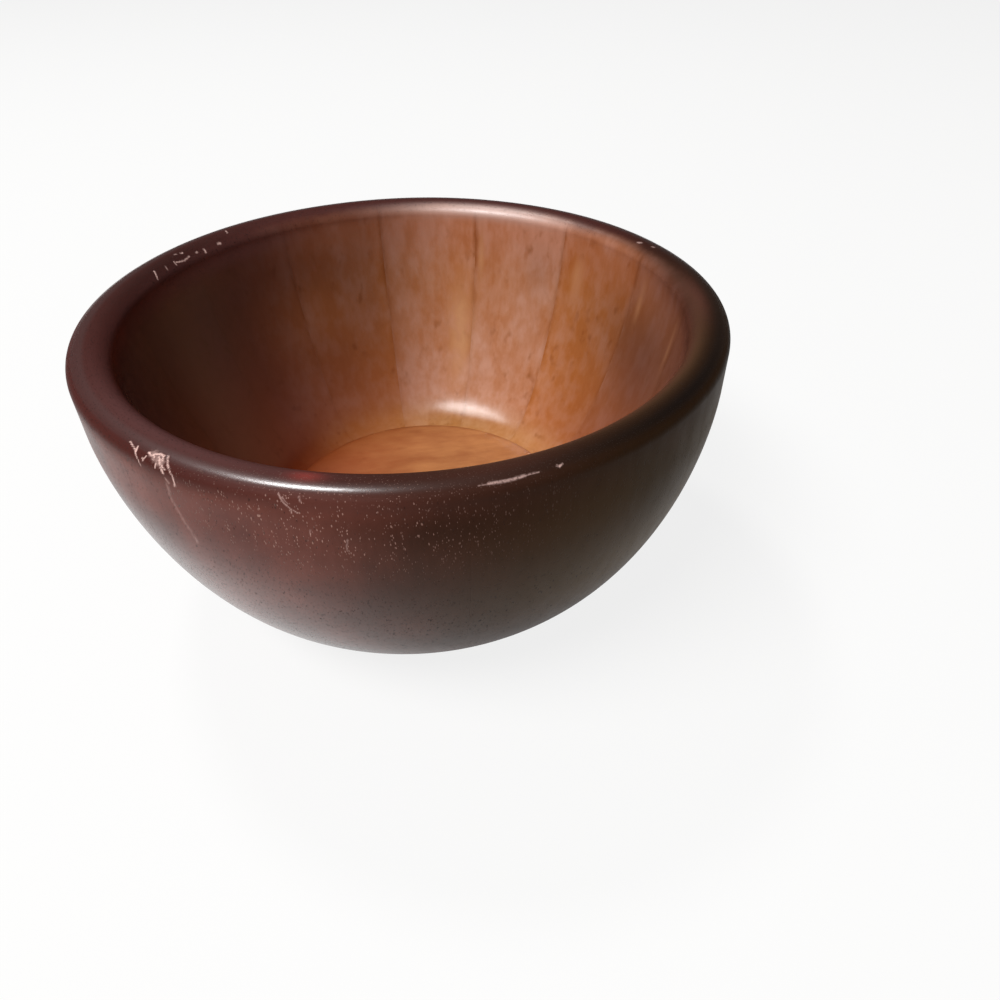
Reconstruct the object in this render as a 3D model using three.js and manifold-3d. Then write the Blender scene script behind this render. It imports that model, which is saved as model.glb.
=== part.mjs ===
// A coopered wooden bowl: bevelled staves glued edge to edge round a stepped base disc, then turned to
// one smooth profile inside and out.
//
// Millimetres, +Z up. The origin is the centre of the foot, on the surface that the bowl stands on.

import * as THREE from "three";
import { mergeVertices } from "three/addons/utils/BufferGeometryUtils.js";
import Module from "manifold-3d";

// Overall sizes
const RIM_DIAMETER = 152;
const HEIGHT = 73;
const FOOT_DIAMETER = 72;

// Wall and lip
const RIM_WALL = 9.2; // thickness of the wall just below the lip
const LIP_OUTER_ROUND = 2.5;
const LIP_INNER_ROUND = 3.5;
const UPRIGHT_BAND = 8.9; // straight band of the outside, just below the lip

// How the wall curves from level at its foot to upright at its top, as the powers of a superellipse
const OUTER_CURVE = { rise: 1.73, spread: 1.98 };
const INNER_CURVE = { rise: 1.35, spread: 1.7 };

// Base disc, and the rebate in the staves that it sits in
const FLOOR_THICKNESS = 9.5;
const FLANGE_THICKNESS = 5; // the disc's wide upper step, whose top is the floor inside the bowl
const FOOT_RING_WIDTH = 5; // the staves' feet, round the disc's lower plug
const LEDGE_WIDTH = 9.5; // what the flange overhangs the plug by, and rests on

// Staves
const STAVE_COUNT = 14;
const FIRST_SEAM_DEGREES = 70; // the seam that starts the first stave, from +X towards +Y
const GLUE_LINE = 0.3; // glued joint between two pieces

// Fineness of the facets
const FACETS_PER_STAVE = 5;
const FLANK_STEPS = 10;
const LIP_STEPS = 4;
const WEDGE_MARGIN = 5; // how far a cutting wedge reaches past the wall

// Colours of the stained wood
const STAIN_COLOUR = "#5b3024";
const FLOOR_COLOUR = "#9a5a36";
const STAIN_VARIATION = 0.03; // stave to stave, in lightness
const LACQUER_ROUGHNESS = 0.4;

// Sizes that follow from those above
const RIM_RADIUS = RIM_DIAMETER / 2;
const INNER_RADIUS = RIM_RADIUS - RIM_WALL;
const FOOT_RADIUS = FOOT_DIAMETER / 2;
const REBATE_PLUG_RADIUS = FOOT_RADIUS - FOOT_RING_WIDTH;
const REBATE_FLANGE_RADIUS = REBATE_PLUG_RADIUS + LEDGE_WIDTH;
const FLANGE_UNDERSIDE = FLOOR_THICKNESS - FLANGE_THICKNESS;
const LEDGE_HEIGHT = FLANGE_UNDERSIDE - GLUE_LINE;
const STAVE_ANGLE = (2 * Math.PI) / STAVE_COUNT;
const FACET_COUNT = STAVE_COUNT * FACETS_PER_STAVE;

const wasm = await Module();
wasm.setup();

/** Turns a closed geometry into a solid that can be cut. */
function solidOf(geometry) {
  const bare = geometry.clone();
  bare.deleteAttribute("normal");
  bare.deleteAttribute("uv");
  const merged = mergeVertices(bare);
  return new wasm.Manifold(new wasm.Mesh({
    numProp: 3,
    vertProperties: merged.attributes.position.array,
    triVerts: new Uint32Array(merged.index.array),
  }));
}

/** Turns a cut solid back into a geometry. */
function geometryOf(solid) {
  const mesh = solid.getMesh();
  const geometry = new THREE.BufferGeometry();
  geometry.setAttribute("position", new THREE.BufferAttribute(mesh.vertProperties, 3));
  geometry.setIndex(new THREE.BufferAttribute(mesh.triVerts, 1));
  geometry.computeVertexNormals();
  return geometry;
}

/** Turns a profile of radius and height about the upright axis, with its first facet edge at an angle. */
function turned(profile, firstEdge = 0) {
  const points = profile.map(([radius, height]) => new THREE.Vector2(radius, height));
  return new THREE.LatheGeometry(points, FACET_COUNT, firstEdge).rotateX(Math.PI / 2);
}

/** A quarter of a superellipse, level where it starts at the foot and upright where it ends. */
function flank([startRadius, startHeight], [endRadius, endHeight], { rise, spread }) {
  return Array.from({ length: FLANK_STEPS + 1 }, (_, step) => {
    const angle = ((step / FLANK_STEPS) * Math.PI) / 2;
    const outward = step === FLANK_STEPS ? 1 : Math.sin(angle) ** (2 / spread);
    const upward = step === FLANK_STEPS ? 1 : 1 - Math.cos(angle) ** (2 / rise);
    return [
      startRadius + (endRadius - startRadius) * outward,
      startHeight + (endHeight - startHeight) * upward,
    ];
  });
}

/** A quarter round of the lip, from one angle to another about a centre. */
function lipRound(centreRadius, round, startAngle, endAngle) {
  const centreHeight = HEIGHT - round;
  const arc = new THREE.EllipseCurve(centreRadius, centreHeight, round, round, startAngle, endAngle);
  return arc.getPoints(LIP_STEPS).map(({ x, y }) => [x, y]);
}

/** The wall's section, from the inside edge of its foot, up the outside, over the lip and down the inside. */
function wallSection() {
  const bellyHeight = HEIGHT - LIP_OUTER_ROUND - UPRIGHT_BAND;
  const innerTop = HEIGHT - LIP_INNER_ROUND;
  const inside = flank([REBATE_FLANGE_RADIUS, FLOOR_THICKNESS], [INNER_RADIUS, innerTop], INNER_CURVE);
  const section = [
    [REBATE_PLUG_RADIUS, 0],
    ...flank([FOOT_RADIUS, 0], [RIM_RADIUS, bellyHeight], OUTER_CURVE),
    ...lipRound(RIM_RADIUS - LIP_OUTER_ROUND, LIP_OUTER_ROUND, 0, Math.PI / 2),
    ...lipRound(INNER_RADIUS + LIP_INNER_ROUND, LIP_INNER_ROUND, Math.PI / 2, Math.PI),
    ...inside.reverse().slice(1),
    [REBATE_FLANGE_RADIUS, LEDGE_HEIGHT],
    [REBATE_PLUG_RADIUS, LEDGE_HEIGHT],
  ];
  return [...section, section[0]];
}

/** The wedge of one stave about +X, its bevelled sides each set back by half a glue line. */
function staveWedge() {
  const halfAngle = STAVE_ANGLE / 2;
  const apex = GLUE_LINE / 2 / Math.sin(halfAngle);
  const reach = RIM_RADIUS + WEDGE_MARGIN;
  const halfWidth = (reach - apex) * Math.tan(halfAngle);
  const outline = new THREE.Shape([
    new THREE.Vector2(apex, 0),
    new THREE.Vector2(reach, -halfWidth),
    new THREE.Vector2(reach, halfWidth),
  ]);
  const depth = HEIGHT + 2 * WEDGE_MARGIN;
  return new THREE.ExtrudeGeometry(outline, { depth, bevelEnabled: false }).translate(0, 0, -WEDGE_MARGIN);
}

/** One stave, cut from the turned wall. Its bevels fall in the middle of a facet, so none is left a sliver. */
function staveGeometry() {
  const halfFacet = Math.PI / FACET_COUNT;
  const wall = turned(wallSection(), (Math.PI + STAVE_ANGLE) / 2 + halfFacet);
  return geometryOf(solidOf(wall).intersect(solidOf(staveWedge())));
}

/** The stepped disc: a plug between the staves' feet, under a flange that is the floor inside. */
function baseDiscGeometry() {
  const plugRadius = REBATE_PLUG_RADIUS - GLUE_LINE;
  const flangeRadius = REBATE_FLANGE_RADIUS - GLUE_LINE;
  return turned([
    [0, 0],
    [plugRadius, 0],
    [plugRadius, FLANGE_UNDERSIDE],
    [flangeRadius, FLANGE_UNDERSIDE],
    [flangeRadius, FLOOR_THICKNESS],
    [0, FLOOR_THICKNESS],
  ]);
}

/** Stained and lacquered wood, a little lighter or darker from one stave to the next. */
function stainedWood(index) {
  const lightness = STAIN_VARIATION * Math.sin(index * index);
  const color = new THREE.Color(STAIN_COLOUR).offsetHSL(0, 0, lightness);
  return new THREE.MeshStandardMaterial({ color, roughness: LACQUER_ROUGHNESS, metalness: 0 });
}

/** The ring of staves, each a named copy turned to its place. */
function staves() {
  const geometry = staveGeometry();
  const ring = new THREE.Group();
  for (let index = 0; index < STAVE_COUNT; index += 1) {
    const stave = new THREE.Mesh(geometry, stainedWood(index));
    stave.name = `stave_${String(index + 1).padStart(2, "0")}`;
    stave.rotation.z = THREE.MathUtils.degToRad(FIRST_SEAM_DEGREES) + (index + 0.5) * STAVE_ANGLE;
    ring.add(stave);
  }
  return ring;
}

/** The floor of the bowl. */
function baseDisc() {
  const color = new THREE.Color(FLOOR_COLOUR);
  const wood = new THREE.MeshStandardMaterial({ color, roughness: LACQUER_ROUGHNESS, metalness: 0 });
  const disc = new THREE.Mesh(baseDiscGeometry(), wood);
  disc.name = "base_disc";
  return disc;
}

const bowl = new THREE.Group();
bowl.add(staves(), baseDisc());

export default bowl;
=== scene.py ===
# %% [markdown]
# # A coopered wooden bowl
#
# The real bowl is a ring of narrow staves, glued edge to edge round a floor disc, turned on a lathe to one
# smooth wall with a rounded lip, then stained dark and lacquered. Use has rubbed the stain thin inside and
# nicked the lip. The CAD model holds every piece at its real size. This lesson gives each its fine surface
# and its finish, without moving or resizing any.

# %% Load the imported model
import math
from types import SimpleNamespace

import bpy
import numpy as np
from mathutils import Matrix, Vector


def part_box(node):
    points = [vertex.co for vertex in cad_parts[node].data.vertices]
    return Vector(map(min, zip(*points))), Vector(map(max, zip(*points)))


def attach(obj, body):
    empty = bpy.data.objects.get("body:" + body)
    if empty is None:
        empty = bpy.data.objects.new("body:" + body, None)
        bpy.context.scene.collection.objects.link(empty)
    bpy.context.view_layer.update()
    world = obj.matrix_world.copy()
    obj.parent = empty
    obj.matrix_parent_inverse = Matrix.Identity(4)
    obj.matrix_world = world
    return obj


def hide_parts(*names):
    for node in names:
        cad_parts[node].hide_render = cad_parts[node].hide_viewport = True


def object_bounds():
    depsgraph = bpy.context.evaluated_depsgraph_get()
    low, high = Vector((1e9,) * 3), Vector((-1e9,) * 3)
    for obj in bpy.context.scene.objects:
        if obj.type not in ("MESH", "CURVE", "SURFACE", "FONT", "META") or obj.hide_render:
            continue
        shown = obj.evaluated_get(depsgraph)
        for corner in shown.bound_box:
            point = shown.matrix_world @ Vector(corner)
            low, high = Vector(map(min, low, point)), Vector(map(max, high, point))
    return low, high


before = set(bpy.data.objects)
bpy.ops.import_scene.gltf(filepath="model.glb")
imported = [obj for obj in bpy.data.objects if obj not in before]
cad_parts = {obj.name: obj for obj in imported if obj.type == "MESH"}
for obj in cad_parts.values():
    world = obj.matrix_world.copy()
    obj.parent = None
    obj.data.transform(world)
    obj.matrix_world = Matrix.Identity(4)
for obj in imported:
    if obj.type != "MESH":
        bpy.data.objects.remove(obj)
cad_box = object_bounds()
STAVES = sorted(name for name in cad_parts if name.startswith("stave_"))
print(f"{len(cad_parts)} CAD nodes, of which {len(STAVES)} are staves")

# %% [markdown]
# ## Sizes
#
# A size that the CAD frame can show is measured there, so the fine surfaces follow the solids. The rest are
# the maker's sizes, in millimetres turned into metres, which Blender works in.

# %% Measure the bowl
MM = 0.001
GLUE_LINE = 0.3 * MM
RIM_WALL = 9.2 * MM
LIP_OUTER_ROUND = 2.5 * MM
LIP_INNER_ROUND = 3.5 * MM
UPRIGHT_BAND = 8.9 * MM
FOOT_RADIUS = 36 * MM
FOOT_RING_WIDTH = 5 * MM
FLANGE_THICKNESS = 5 * MM
OUTER_RISE, OUTER_SPREAD = 1.73, 1.98
INNER_RISE, INNER_SPREAD = 1.35, 1.7

disc_low, disc_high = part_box("base_disc")
RIM_RADIUS = (cad_box[1][0] - cad_box[0][0]) / 2
HEIGHT = cad_box[1][2]
FLOOR_HEIGHT = disc_high[2]
FLANGE_RADIUS = (disc_high[1] - disc_low[1]) / 2 + GLUE_LINE
PLUG_RADIUS = FOOT_RADIUS - FOOT_RING_WIDTH
LEDGE_HEIGHT = FLOOR_HEIGHT - FLANGE_THICKNESS
STAVE_ANGLE = 2 * math.pi / len(STAVES)
print(f"{2 * RIM_RADIUS / MM:.1f} mm across, {HEIGHT / MM:.1f} mm high")

# %% [markdown]
# ## Camera
#
# The photograph was taken from close by, above the rim, so near parts look large. A Track To constraint
# could aim the camera. Here its place and two angles, worked out from the bowl's outline, are written out,
# so that they don't depend on any other object.

# %% Place the camera
CAMERA_PLACE = (0, -176.1 * MM, 153.2 * MM)
CAMERA_TURN_RIGHT = math.radians(7.25)
CAMERA_LOOK_DOWN = math.radians(39.24)
CAMERA_LENS = 27.92
NEAREST_SEEN = 10 * MM

camera = bpy.data.objects.new("camera", bpy.data.cameras.new("camera"))
bpy.context.scene.collection.objects.link(camera)
camera.location = CAMERA_PLACE
camera.rotation_euler = (math.pi / 2 - CAMERA_LOOK_DOWN, 0, -CAMERA_TURN_RIGHT)
camera.data.lens = CAMERA_LENS
camera.data.clip_start = NEAREST_SEEN
bpy.context.scene.camera = camera
print("camera at", tuple(round(value / MM, 1) for value in camera.location), "mm")

# %% [markdown]
# ## The turned section
#
# A turner cuts the whole wall to one section, so one curve describes it: up the outside from the foot, over
# the lip and down the inside to the floor. Bezier handles could draw it, but a superellipse has just two
# numbers to set its bulge and is level at the foot and upright at the rim by itself.

# %% Curves of the section
CURVE_POINTS = 400
ROUND_POINTS = 120
OUTER_LIP_FULLNESS = 2.4
INNER_LIP_FULLNESS = 2.15


def flank(start, end, rise, spread):
    """Radius and height along a quarter of a superellipse, level at its start and upright at its end.

    An angle runs from nothing to a right angle. The radius grows with its sine to the power 2 / spread, and
    the height with one less its cosine to the power 2 / rise.
    """
    angle = np.linspace(0, np.pi / 2, CURVE_POINTS)
    outward = np.sin(angle) ** (2 / spread)
    upward = 1 - np.clip(np.cos(angle), 0, 1) ** (2 / rise)
    return np.array(start) + np.stack([outward, upward], axis=1) * (np.array(end) - np.array(start))


def lip_half(side, crown, fullness):
    """Radius and height from the wall's upright side to the crown, along a quarter of a superellipse.

    Its half axes are the steps across and up from side to crown. A fullness of two makes an ellipse, and
    more makes a squarer shoulder.
    """
    angle = np.linspace(0, np.pi / 2, ROUND_POINTS)
    across = np.clip(np.cos(angle), 0, 1) ** (2 / fullness)
    upward = np.sin(angle) ** (2 / fullness)
    corner = np.array([crown[0], side[1]])
    return corner + np.stack([across, upward], axis=1) * [side[0] - crown[0], crown[1] - side[1]]


def turned_section():
    """Every point of the section that shows, and the number of the one on the crown of the lip."""
    belly = (RIM_RADIUS, HEIGHT - LIP_OUTER_ROUND - UPRIGHT_BAND)
    outer_top = (RIM_RADIUS, HEIGHT - LIP_OUTER_ROUND)
    inner_top = (RIM_RADIUS - RIM_WALL, HEIGHT - LIP_INNER_ROUND)
    crown = (RIM_RADIUS - RIM_WALL / 2 + (LIP_INNER_ROUND - LIP_OUTER_ROUND) / 2, HEIGHT)
    outside = flank((FOOT_RADIUS, 0), belly, OUTER_RISE, OUTER_SPREAD)
    outer_lip = lip_half(outer_top, crown, OUTER_LIP_FULLNESS)
    inner_lip = lip_half(inner_top, crown, INNER_LIP_FULLNESS)[::-1]
    inside = flank((FLANGE_RADIUS, FLOOR_HEIGHT), inner_top, INNER_RISE, INNER_SPREAD)[::-1]
    points = np.concatenate([outside, outer_lip, inner_lip[1:], inside[1:]])
    return points, len(outside) + len(outer_lip) - 1


section, crown_number = turned_section()
print(f"section of {len(section)} points")

# %% [markdown]
# Even rows would waste faces, so they crowd at the lip, where the curve is tight and the nicks are. Each
# row keeps its distance from the crown of the lip along the surface, more than nothing outside and less
# than nothing inside. The finish and the wear are placed by it.

# %% Rows of the mesh
LIP_STEP = 0.22 * MM
WALL_STEP = 1.1 * MM
LIP_REACH = 9 * MM
DENSE_POINTS = 8000


def rows_of_section(points, crown_index):
    """Radius, height, distance from the crown and outward normal of each row.

    Steps along the section are small within reach of the crown and grow beyond it. A row's number is the
    sum of length over step, so rows are read off where that sum is whole.
    """
    length = np.concatenate([[0], np.cumsum(np.linalg.norm(np.diff(points, axis=0), axis=1))])
    crown = length[crown_index]
    dense = np.linspace(0, length[-1], DENSE_POINTS)
    beyond = np.clip(np.abs(dense - crown) / LIP_REACH - 1, 0, 1)
    step = LIP_STEP + (WALL_STEP - LIP_STEP) * beyond
    number = np.concatenate([[0], np.cumsum(np.diff(dense) / step[1:])])
    rows = np.interp(np.linspace(0, number[-1], int(number[-1]) + 1), number, dense)
    radius, height = (np.interp(rows, length, points[:, axis]) for axis in (0, 1))
    forward = np.stack([np.gradient(radius, rows), np.gradient(height, rows)], axis=1)
    forward /= np.linalg.norm(forward, axis=1, keepdims=True)
    normal = np.stack([forward[:, 1], -forward[:, 0]], axis=1)
    return radius, height, crown - rows, normal


row_radius, row_height, row_from_crown, row_normal = rows_of_section(section, crown_number)
CORNER = row_from_crown.min() / MM
print(f"{len(row_radius)} rows, the last {-CORNER:.1f} mm inside the crown, at the floor")

# %% [markdown]
# ## Wear
#
# Years of use have nicked the lip and scratched the wall, down to pale wood. An image of the marks would
# tie them to one resolution, so each is a short path on the surface: degrees round the rim from +X, and
# millimetres from the crown. A grid point's wear follows from its distance to the path.

# %% Marks on the lip and wall
# Each mark is its width in mm, its depth in mm, its paleness, and the points of its path.
MARKS = [
    (0.21, 0.04, 0.9, (-134.2, 2.4), (-132.4, 3.2), (-131.1, 4.8), (-130.9, 5.9)),
    (0.30, 0.06, 1.0, (-132.3, 2.5), (-132.0, 3.5)),
    (0.22, 0.05, 0.9, (-129.9, 3.4), (-130.2, 4.4)),
    (0.20, 0.04, 0.8, (-130.5, 3.9), (-130.1, 4.3)),
    (0.38, 0.08, 1.0, (-129.9, 2.6), (-129.1, 2.8), (-128.7, 2.3), (-128.0, 1.9), (-127.3, 2.0)),
    (0.33, 0.07, 1.0, (-128.8, 2.6), (-128.3, 3.4)),
    (0.40, 0.08, 1.0, (-127.8, 2.5), (-126.7, 4.1), (-126.3, 5.1)),
    (0.28, 0.06, 0.8, (-127.8, 3.5), (-127.7, 4.7)),
    (0.33, 0.06, 1.0, (-127.5, 1.9), (-126.9, 3.0)),
    (0.24, 0.05, 0.9, (-126.7, 3.8), (-125.9, 4.3)),
    (0.25, 0.06, 1.0, (-126.7, 1.6), (-126.2, 2.6), (-125.1, 4.1), (-124.5, 5.1), (-124.7, 7.3)),
    (1.60, 0.01, 0.30, (-129.0, 2.4), (-128.0, 2.8), (-126.9, 3.4)),
    (0.70, 0.01, 0.16, (-126.2, 7.3), (-126.4, 10.8), (-125.6, 14.4), (-124.7, 17.6), (-124.2, 20.4)),
    (0.45, 0.01, 0.3, (-124.5, 19.4), (-124.2, 20.6)),
    (0.50, 0.02, 0.3, (-126.2, 6.2), (-125.8, 6.9)),
    (0.28, 0.05, 0.9, (158.2, -2.8), (159.7, -5.1)),
    (0.31, 0.03, 0.4, (154.9, -3.4), (155.4, -4.6)),
    (0.37, 0.05, 0.6, (152.1, -3.5), (152.3, -4.5)),
    (0.37, 0.06, 0.6, (151.8, -4.0), (149.8, -4.6), (147.7, -4.2)),
    (0.50, 0.06, 0.7, (148.5, -2.2), (148.1, -2.3)),
    (0.50, 0.04, 0.3, (149.9, -1.6), (149.5, -1.7)),
    (0.50, 0.05, 0.5, (145.5, -4.1), (145.1, -4.1)),
    (0.59, 0.07, 0.8, (143.1, -4.3), (143.2, -5.1)),
    (0.68, 0.06, 0.6, (138.9, -4.2), (138.3, -4.3)),
    (0.37, 0.05, 0.6, (134.2, -0.6), (134.5, -1.8)),
    (0.80, 0.05, 0.4, (23.6, -1.6), (23.0, -1.2)),
    (0.65, 0.04, 0.35, (19.8, -0.3), (19.4, -0.2)),
    (0.24, 0.05, 0.3, (-82.8, 2.7), (-81.0, 2.6)),
    (0.52, 0.08, 0.48, (-81.4, 2.6), (-78.6, 2.7), (-76.4, 2.5)),
    (0.27, 0.06, 0.4, (-76.6, 2.5), (-75.3, 2.4), (-74.4, 2.5)),
    (0.31, 0.06, 0.7, (-71.6, 2.2), (-71.3, 2.5), (-70.8, 2.2)),
    (0.17, 0.03, 0.6, (-108.6, 3.4), (-107.9, 4.9), (-107.0, 6.2), (-106.2, 6.9)),
    (0.15, 0.02, 0.4, (-108.0, 4.0), (-107.2, 5.2)),
    (0.24, 0.02, 0.4, (-107.0, 6.2), (-107.0, 7.1)),
    (0.24, 0.02, 0.4, (-105.8, 3.6), (-105.6, 4.4)),
    (0.24, 0.02, 0.3, (-104.9, 10.5), (-105.1, 11.4)),
    (0.24, 0.02, 0.3, (-100.3, 12.3), (-100.5, 14.7)),
]
# Shares of a mark's width within which it is full and past which it is gone.
MARK_FULL, MARK_GONE = 0.2, 0.8
# How far a mark's edge strays, and the pace of its two sines, round and along the wall.
RAGGED = 0.25
RAGGED_ROUND, RAGGED_SLANT, RAGGED_ALONG = 5.1, 2.3, 4.3


def worn_by_marks(angle, from_crown):
    """Paleness and depth that the marks leave on grid points, as two arrays.

    A mark fades smoothly with the distance to the nearest straight piece of its path, on the unrolled wall.
    The product of two sines of the place makes its edge ragged.
    """
    place = np.stack([angle * RIM_RADIUS / MM, from_crown / MM], axis=-1)
    slanted = np.sin(RAGGED_ROUND * place[..., 0] + RAGGED_SLANT * place[..., 1])
    ragged = 1 + RAGGED * slanted * np.sin(RAGGED_ALONG * place[..., 1])
    paleness = np.zeros(angle.shape)
    depth = np.zeros(angle.shape)
    for width, cut, pale, *path in MARKS:
        corners = np.array([(math.radians(degrees) * RIM_RADIUS / MM, mm) for degrees, mm in path])
        starts, runs = corners[:-1], np.diff(corners, axis=0)
        offset = place[..., None, :] - starts
        share = np.clip((offset * runs).sum(axis=-1) / (runs ** 2).sum(axis=-1), 0, 1)
        distance = np.linalg.norm(offset - share[..., None] * runs, axis=-1).min(axis=-1) * ragged
        fade = np.clip((MARK_GONE - distance / width) / (MARK_GONE - MARK_FULL), 0, 1)
        fade = fade * fade * (3 - 2 * fade)
        paleness = np.maximum(paleness, pale * fade)
        depth = np.maximum(depth, cut * MM * fade)
    return paleness, depth


print(f"{len(MARKS)} worn marks")

# %% [markdown]
# Other changes have no edge. The far inner lip has a painted highlight, and the pores in front are pale
# with dust and painted glints. The stain is faded in places, which on the right lip also paints light into
# the shade. Near-black patches are painted shade and shadow, and an olive and a pinkish tint are painted
# sheen.
# A weight brush could paint them. Here each is a bell curve of the place, soft everywhere and set by a few
# numbers.

# %% Soft changes round the wall
# A patch is its middle and spread in degrees, its middle and reach in mm from the crown, and its strength.
# Pale pores in front: dust in them, and painted glints off their edges.
DUST_AND_GLINT_PORES = [(-100, 22, 10, 11, 1.0)]
# A painted highlight on the far inner lip, which also takes a glossier lacquer.
FAR_LIP_HIGHLIGHT = [(67, 19.5, -4.9, 2.1, 1.0)]
THIN_STAIN = [(-106.0, 2.4, -1.2, 1.7, 0.6)]
BARED_EDGE = [(12, 24, -6, 10, 1.0)]
# Faded stain, which on the right lip also paints light into the shade.
FADED_STAIN_AND_LIGHT = [
    (-103, 14, 5.5, 3.5, 0.35), (-35, 32, -4.2, 2.0, 0.17), (-14, 15, -7, 2, 0.15),
    (-80, 12, 0, 5, 0.13), (-6, 11, -1.8, 2.2, 0.21), (124, 16, -5, 2.5, 0.1)]
# Near-black patches: painted shade on the lip's edges and painted shadow low on the front.
PAINTED_SHADE_PATCHES = [
    (-40, 38, 1.5, 2.0, 0.9), (155, 30, -2.4, 3.2, 0.5), (-50, 13, 18, 13, 0.35),
    (-85, 14, 10, 6, 0.2), (-117, 10, 7, 4, 0.15)]
# An olive tint low on the right and on the right lip: a painted sheen.
OLIVE_PAINTED_SHEEN = [(-35, 42, 36, 20, 0.9), (-35, 32, -3.4, 2.0, 0.33), (-35, 35, 14, 9, 0.4)]
# A pinkish grey tint on the left inner wall and front-left lip: a painted sheen.
PINK_PAINTED_SHEEN = [
    (146, 28, -8.4, 2.8, 0.5), (-135, 22, -1.8, 2.5, 0.17), (-112, 14, -1.8, 2.5, 0.08)]
# Patches added to the inside's tone: partly lighter and darker wood, partly painted light and shade.
TONE_AND_LIGHT_PATCHES = [
    (112, 11, -7, 9, 0.16), (150, 28, -6, 7, 0.06), (22, 15, -10, 9, 0.1), (18, 13, -30, 13, -0.06),
    (5, 14, -32, 14, -0.05), (8, 14, -14, 7, 0.04), (116, 9, -32, 11, 0.14), (128, 12, -36, 14, 0.05),
    (51, 5, -20, 7, -0.14), (133, 10, -30, 15, 0.05), (20, 10, -42, 12, 0.03)]
# Pale streaks beside some seams, and a broad pale band on the far wall.
PALE_STREAKS = [
    (68.2, 0.8, -18, 7, 0.3), (38.6, 1.7, -18.5, 5, 0.4), (15.0, 0.9, -16, 5, 0.18),
    (-5.0, 0.8, -18.5, 6, 0.12), (73.5, 3.6, -42, 13, 0.6)]


def soft_patches(angle, from_crown, patches):
    """Strength of some soft patches together, at every grid point.

    A patch is its strength times e to the power of minus two squares: how many spreads the point lies round
    from the patch's middle, the shorter way, and how many reaches it lies along the wall from it.
    """
    degrees, spread, middle, reach, strength = np.array(patches).T
    across = ((np.degrees(angle)[..., None] - degrees + 180) % 360 - 180) / spread
    along = (from_crown[..., None] / MM - middle) / reach
    return (strength * np.exp(-across ** 2 - along ** 2)).sum(axis=-1)


# What the finish will read under each name.
SOFT_NOTES = {
    "dust": DUST_AND_GLINT_PORES, "rub": FAR_LIP_HIGHLIGHT, "thin": THIN_STAIN, "sapwood": PALE_STREAKS, "bared": BARED_EDGE,
    "faded": FADED_STAIN_AND_LIGHT, "deep": PAINTED_SHADE_PATCHES, "olive": OLIVE_PAINTED_SHEEN, "bloom": PINK_PAINTED_SHEEN}
print(len(SOFT_NOTES), "kinds of soft patch")

# %% [markdown]
# How dark the outside is and how light the inside is change all the way round. Both are partly painted: a
# painted shadow over the right of the outside, and inside, painted shade on the left wall and painted light
# on the far wall. A gradient in the shader could do that, but it would have a seam. A function of the angle
# has none.

# %% Changes all the way round
# The outside's right is darker by a painted shadow, and its lacquer shines less there.
PAINTED_SHADOW_DEGREES = -38
PAINTED_SHADOW_SPREAD = 65
PAINTED_SHADOW_POWER = 6
# How light the inside is, by degrees round the bowl from +X: partly the staves' own tone, partly painted
# shade on the left wall and painted light on the far wall.
INNER_TONE_AND_LIGHT = [
    (-180, 0.0), (-120, 0.12), (-45, 0.12), (-20, 0.12), (6, 0.24), (17.5, 0.36), (19.5, 0.48), (31, 0.66),
    (46, 0.88), (62, 1.0), (75, 0.97), (88, 0.7), (100, 0.4), (112, 0.27), (125, 0.2), (140, 0.04),
    (155, 0.0), (180, 0.0)]


def painted_shadow_share(angle):
    """Share of the painted shadow on the outside's right: a bell curve of the angle, with a broad top."""
    spreads = (np.degrees(angle) - PAINTED_SHADOW_DEGREES) / PAINTED_SHADOW_SPREAD
    return np.exp(-spreads ** PAINTED_SHADOW_POWER)


def tone_and_painted_light(angle):
    """Inside tone with painted light and shade, from nothing to one: straight lines between noted angles.
    """
    degrees, light = np.array(INNER_TONE_AND_LIGHT).T
    return np.interp(np.degrees(angle), degrees, light)


print("lightest inside at", max(INNER_TONE_AND_LIGHT, key=lambda pair: pair[1])[0], "degrees")

# %% [markdown]
# ## Staves
#
# Each stave is a bevelled strip of the turned wall. Booleans could cut it from a lathed ring, but they
# leave messy faces. Carrying the section through the stave's own angle gives a clean grid, and one flat
# face at each end gives the glued bevels. Where a stave stands is read from its solid.

# %% Where each stave stands
def stave_centre(name):
    """Angle of the middle of a stave, half way between the outermost angles of its CAD corners."""
    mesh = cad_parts[name].data
    corners = np.empty(3 * len(mesh.vertices))
    mesh.vertices.foreach_get("co", corners)
    x, y, _ = corners.reshape(-1, 3).T
    rough = math.atan2(y.mean(), x.mean())
    sideways = y * math.cos(rough) - x * math.sin(rough)
    outward = x * math.cos(rough) + y * math.sin(rough)
    turn = np.arctan2(sideways, outward)
    return rough + (turn.min() + turn.max()) / 2


centres = {name: stave_centre(name) for name in STAVES}
print("staves at", [round(math.degrees(angle), 1) for angle in centres.values()])

# %% [markdown]
# A grid becomes a mesh once its faces are listed. They could be added one by one, but handing Blender whole
# lists is far quicker. What a finish has to know about a point stays on the mesh as an attribute.

# %% From a grid to a mesh
SHARP_DEGREES = 40


def new_piece(name, points, faces):
    """A smooth-shaded mesh object at the origin, with edges kept sharp past an angle."""
    mesh = bpy.data.meshes.new(name)
    mesh.from_pydata(points.reshape(-1, 3).tolist(), [], faces)
    mesh.polygons.foreach_set("use_smooth", np.ones(len(mesh.polygons), dtype=bool))
    mesh.set_sharp_from_angle(angle=math.radians(SHARP_DEGREES))
    mesh.update()
    piece = bpy.data.objects.new(name, mesh)
    bpy.context.scene.collection.objects.link(piece)
    return piece


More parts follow.
